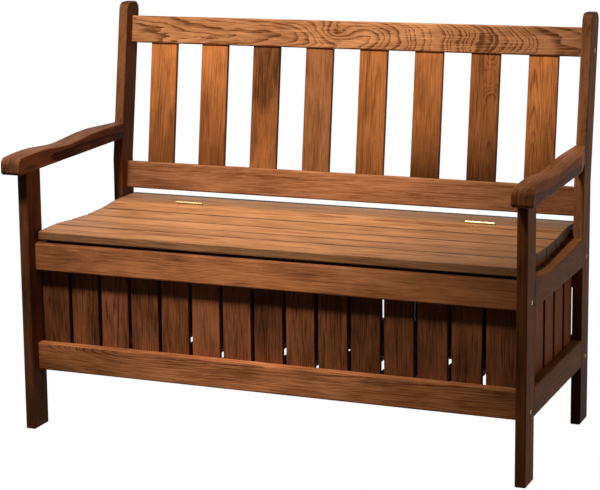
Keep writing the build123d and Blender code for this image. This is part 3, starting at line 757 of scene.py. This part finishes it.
disc_sizes = {0: size["Head height"], 1: size["Chamfer"]}
disc_height = add(bolt_tree, "ShaderNodeMath", disc_sizes, operation="SUBTRACT")
disc_middle = add(bolt_tree, "ShaderNodeMath", {0: disc_height, 1: 0.5}, operation="MULTIPLY")
disc, disc_mesh = rod(HEAD_SIDES, size["Head radius"], disc_height, disc_middle)
top = {"Mesh": disc_mesh, "Selection": disc.outputs["Top"], "Offset Scale": size["Chamfer"]}
raised = add(bolt_tree, "GeometryNodeExtrudeMesh", top)
inset_sizes = {0: size["Chamfer"], 1: size["Head radius"]}
inset = add(bolt_tree, "ShaderNodeMath", inset_sizes, operation="DIVIDE")
drawn_in = add(bolt_tree, "ShaderNodeMath", {0: 1.0, 1: inset}, operation="SUBTRACT")
top = {"Geometry": raised, "Selection": raised.outputs["Top"], "Scale": drawn_in}
chamfered = add(bolt_tree, "GeometryNodeScaleElements", top)
socket_height = add(bolt_tree, "ShaderNodeMath", {0: size["Socket depth"], 1: 2.0}, operation="MULTIPLY")
_, socket_mesh = rod(SOCKET_SIDES, size["Socket radius"], socket_height, size["Head height"])
head = add(
    bolt_tree,
    "GeometryNodeMeshBoolean",
    {"Mesh 1": chamfered, "Mesh 2": socket_mesh},
    operation="DIFFERENCE",
    solver="EXACT",
)
shank_middle = add(bolt_tree, "ShaderNodeMath", {0: size["Shank length"], 1: -0.5}, operation="MULTIPLY")
_, shank_mesh = rod(SHANK_SIDES, size["Shank radius"], size["Shank length"], shank_middle)
bolt = add(bolt_tree, "GeometryNodeJoinGeometry", {"Geometry": head})
bolt_tree.links.new(shank_mesh.outputs[0], bolt.inputs["Geometry"])
print("one bolt:", len(bolt_tree.nodes), "nodes")

# %% [markdown]
# ## Bolts on their points
#
# Each bolt faces outward, and its side is the sign of its place along the bench. The result
# is made a plain mesh, because a model that leaves Blender takes no instances with it.

# %% Ten bolts
spot = add(bolt_tree, "ShaderNodeSeparateXYZ", {0: add(bolt_tree, "GeometryNodeInputPosition")})
side_sign = add(bolt_tree, "ShaderNodeMath", {0: spot.outputs["X"]}, operation="SIGN")
outward = add(bolt_tree, "ShaderNodeCombineXYZ", {"X": side_sign})
facing_out = add(bolt_tree, "FunctionNodeAlignRotationToVector", {"Vector": outward}, axis="Z")
set_out = {"Points": size["Points"], "Instance": bolt, "Rotation": facing_out}
placed = add(bolt_tree, "GeometryNodeInstanceOnPoints", set_out)
real = add(bolt_tree, "GeometryNodeRealizeInstances", {"Geometry": placed})
plated = add(bolt_tree, "GeometryNodeSetMaterial", {"Geometry": real, "Material": zinc})
add(bolt_tree, "NodeGroupOutput", {"Bolts": plated})

point_mesh = bpy.data.meshes.new("bolt_points")
point_mesh.from_pydata(bolt_points, [], [])
bolts = bpy.data.objects.new("socket_bolts", point_mesh)
bpy.context.scene.collection.objects.link(bolts)
pattern = bolts.modifiers.new("socket_bolts", "NODES")
pattern.node_group = bolt_tree
for socket in bolt_tree.interface.items_tree:
    if socket.name in BOLT_SIZES:
        pattern[socket.identifier] = BOLT_SIZES[socket.name]
drawn = bolts.evaluated_get(bpy.context.evaluated_depsgraph_get())
bolt_mesh = bpy.data.meshes.new_from_object(drawn)
bolts.modifiers.remove(pattern)
bolts.data = bolt_mesh
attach(bolts, "frame")
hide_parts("bolts")
print("bolts:", len(bolt_points), "with", len(bolt_mesh.polygons), "faces")

# %% [markdown]
# ## The studio
#
# The floor is pale and plain and keeps the shadow. To the camera, and in shiny metal, floor
# and surroundings are white. The light that falls on the bench is another matter: a strong
# white world would wash the wood out, so what the bench gets from it is only a little fill.

# %% World and floor
WHITE = (1, 1, 1, 1)
FILL_LEVEL = 0.06
FLOOR_SIZE = 30.0
FLOOR_PALE = (0.3, 0.3, 0.3, 1)
FLOOR_FADE = {"From Min": 0.7, "From Max": 2.2, "To Min": 0.99}

scene = bpy.context.scene
scene.view_settings.view_transform = "Standard"


def seen_directly(tree):
    """1 for the camera and for mirror-like and see-through rays, 0 for the light on the bench."""
    path = add(tree, "ShaderNodeLightPath").outputs
    seen = path["Is Camera Ray"]
    for ray in ("Is Glossy Ray", "Is Transmission Ray"):
        seen = add(tree, "ShaderNodeMath", {0: seen, 1: path[ray]}, operation="MAXIMUM")
    return seen


world = bpy.data.worlds.new("white_studio")
scene.world = world
world.use_nodes = True
sky = world.node_tree
sky.nodes.clear()
level = add(sky, "ShaderNodeMapRange", {"Value": seen_directly(sky), "To Min": FILL_LEVEL})
background = add(sky, "ShaderNodeBackground", {"Color": WHITE, "Strength": level})
add(sky, "ShaderNodeOutputWorld", {"Surface": background})

bpy.ops.mesh.primitive_plane_add(size=FLOOR_SIZE)
floor = bpy.context.object
floor.name = "studio_floor"
paper = bare_material("white_paper_floor")
sheet = paper.node_tree
matt = add(sheet, "ShaderNodeBsdfDiffuse", {"Color": FLOOR_PALE})
glow = add(sheet, "ShaderNodeEmission", {"Color": WHITE, "Strength": 1.0})
place = add(sheet, "ShaderNodeTexCoord").outputs["Object"]
away = add(sheet, "ShaderNodeVectorMath", {0: place}, operation="LENGTH").outputs["Value"]
fade = add(sheet, "ShaderNodeMapRange", {"Value": away, **FLOOR_FADE}, interpolation_type="SMOOTHSTEP")
share = add(sheet, "ShaderNodeMath", {0: seen_directly(sheet), 1: fade}, operation="MULTIPLY")
both = add(sheet, "ShaderNodeMixShader", {0: share, 1: matt, 2: glow})
add(sheet, "ShaderNodeOutputMaterial", {"Surface": both})
floor.data.materials.append(paper)
print("floor:", FLOOR_SIZE, "m wide, fill:", FILL_LEVEL)

# %% [markdown]
# ## The lamps
#
# One soft spot lamp hangs high in front, a little to the left. Its beam is aimed at the back
# and fades outward, so the ends of the box are darker; an even light over all would be
# simpler, but would lose that. A weak lamp stands behind the right end. A card near that end
# throws a little warm light back on the side that the beam doesn't reach.

# %% Lamps
KEY_PLACE = Vector((-0.45, -1.45, 3.1))
KEY_AIM = Vector((-0.10, 0.25, 0.70))
KEY_RADIUS = 0.3
KEY_CONE = 39.0
KEY_POWER = 680.0
REAR_PLACE = Vector((2.6, 1.8, 1.9))
REAR_AIM = Vector((0.3, 0.0, 0.4))
REAR_SIZE = 1.4
REAR_POWER = 4.0
CARD_PLACE = Vector((1.35, 0.15, 0.60))
CARD_AIM = Vector((0.57, 0.0, 0.45))
CARD_SIZE = 0.9
CARD_POWER = 1.2
CARD_TINT = "#ffdc9c"


def hang(lamp_data, power, place, aim):
    """Puts up a lamp at a place and turns it to what it lights."""
    lamp_data.energy = power
    lamp = bpy.data.objects.new(lamp_data.name, lamp_data)
    scene.collection.objects.link(lamp)
    lamp.location = place
    lamp.rotation_euler = (aim - place).to_track_quat("-Z", "Y").to_euler()
    print(lamp.name, "stands", round((aim - place).length, 2), "m from what it lights")


key_lamp = bpy.data.lights.new("key_lamp", "SPOT")
key_lamp.spot_size = math.radians(KEY_CONE)
key_lamp.spot_blend = 1.0
key_lamp.shadow_soft_size = KEY_RADIUS
hang(key_lamp, KEY_POWER, KEY_PLACE, KEY_AIM)
rear_lamp = bpy.data.lights.new("rear_lamp", "AREA")
rear_lamp.shape = "DISK"
rear_lamp.size = REAR_SIZE
hang(rear_lamp, REAR_POWER, REAR_PLACE, REAR_AIM)
warm_card = bpy.data.lights.new("warm_card", "AREA")
warm_card.shape = "DISK"
warm_card.size = CARD_SIZE
warm_card.color = linear(CARD_TINT)[:3]
hang(warm_card, CARD_POWER, CARD_PLACE, CARD_AIM)
